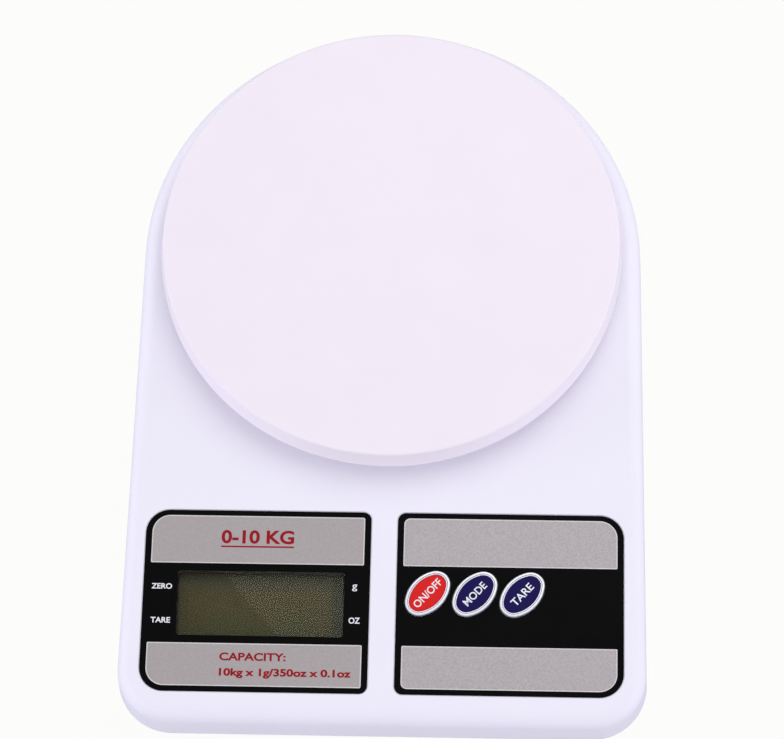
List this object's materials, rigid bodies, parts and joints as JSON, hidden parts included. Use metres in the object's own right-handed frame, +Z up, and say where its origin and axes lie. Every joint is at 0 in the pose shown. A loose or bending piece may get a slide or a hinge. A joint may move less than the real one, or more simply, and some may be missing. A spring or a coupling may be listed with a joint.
{
  "type": "digital gram scale",
  "caption": "Flat digital gram scale with a round weighing platform on a rounded body, display at left and oval keys at right in front.",
  "frame": {"origin": "on the table under the middle of the body's plan outline", "axes": "+Z up, +Y to the rear where the platform is, +X to the right of a person who reads the display"},
  "size_m": [0.165, 0.2372, 0.034],
  "materials": {
    "white_plastic": "satin moulded ABS, very slightly lilac white",
    "foot_rubber": "matte",
    "plated_steel": "zinc plated",
    "label_film": "printed film, satin",
    "clear_acrylic": "clear, polished",
    "lcd_glass": "dark olive, switched off",
    "conductive_rubber": "matte",
    "frame_plastic": "matte black moulding",
    "board_laminate": "green solder mask",
    "black_epoxy": "glossy",
    "switch_steel": "stamped cover",
    "beam_aluminium": "machined",
    "gauge_silicone": "satin silicone",
    "lead_sleeve": "flexible sleeve",
    "cell_jacket": "printed jacket",
    "nickel_contact": "nickel plated",
    "carrier_plastic": "moulded",
    "red_key": "glossy red face, silver rim",
    "navy_key": "glossy navy face, silver rim",
    "plunger_plastic": "matte"
  },
  "bodies": {
    "case": {"top_housing": "white_plastic", "bottom_cover": "white_plastic", "rubber_feet": "foot_rubber", "case_screws": "plated_steel", "display_label": "label_film", "button_label": "label_film", "display_window": "clear_acrylic", "lcd_panel": "lcd_glass", "lcd_contact_strips": "conductive_rubber", "lcd_frame": "frame_plastic", "main_board": "board_laminate", "board_screws": "plated_steel", "chip_blob": "black_epoxy", "tact_switches": "switch_steel", "load_cell": "beam_aluminium", "gauge_coats": "gauge_silicone", "load_cell_screws": "plated_steel", "load_cell_cable": "lead_sleeve", "battery_cells": "cell_jacket", "negative_contact": "nickel_contact", "positive_contact": "nickel_contact", "bridge_contact": "nickel_contact", "battery_leads": "lead_sleeve"},
    "weighing_platform": {"platform": "white_plastic", "platform_carrier": "carrier_plastic", "carrier_screws": "plated_steel", "spacer_block": "beam_aluminium"},
    "power_button": {"power_key": "red_key", "power_plunger": "plunger_plastic"},
    "mode_button": {"mode_key": "navy_key", "mode_plunger": "plunger_plastic"},
    "tare_button": {"tare_key": "navy_key", "tare_plunger": "plunger_plastic"},
    "battery_hatch": {"battery_door": "white_plastic"}
  },
  "joints": [
    {"name": "platform_slide", "type": "slide", "parent": "case", "child": "weighing_platform", "axis": [0, 0, 1], "range_m": [-0.0005, 0], "stiffness_N_per_m": 30000, "deforming": ["load_cell"]},
    {"name": "power_press", "type": "slide", "parent": "case", "child": "power_button", "axis": [0, 0, 1], "range_m": [-0.0003, 0], "stiffness_N_per_m": 6000},
    {"name": "mode_press", "type": "slide", "parent": "case", "child": "mode_button", "axis": [0, 0, 1], "range_m": [-0.0003, 0], "stiffness_N_per_m": 6000},
    {"name": "tare_press", "type": "slide", "parent": "case", "child": "tare_button", "axis": [0, 0, 1], "range_m": [-0.0003, 0], "stiffness_N_per_m": 6000},
    {"name": "hatch_hinge", "type": "hinge", "parent": "case", "child": "battery_hatch", "pos_m": [0, -0.00225, 0.0015], "axis": [1, 0, 0], "range_deg": [0, 75]}
  ]
}
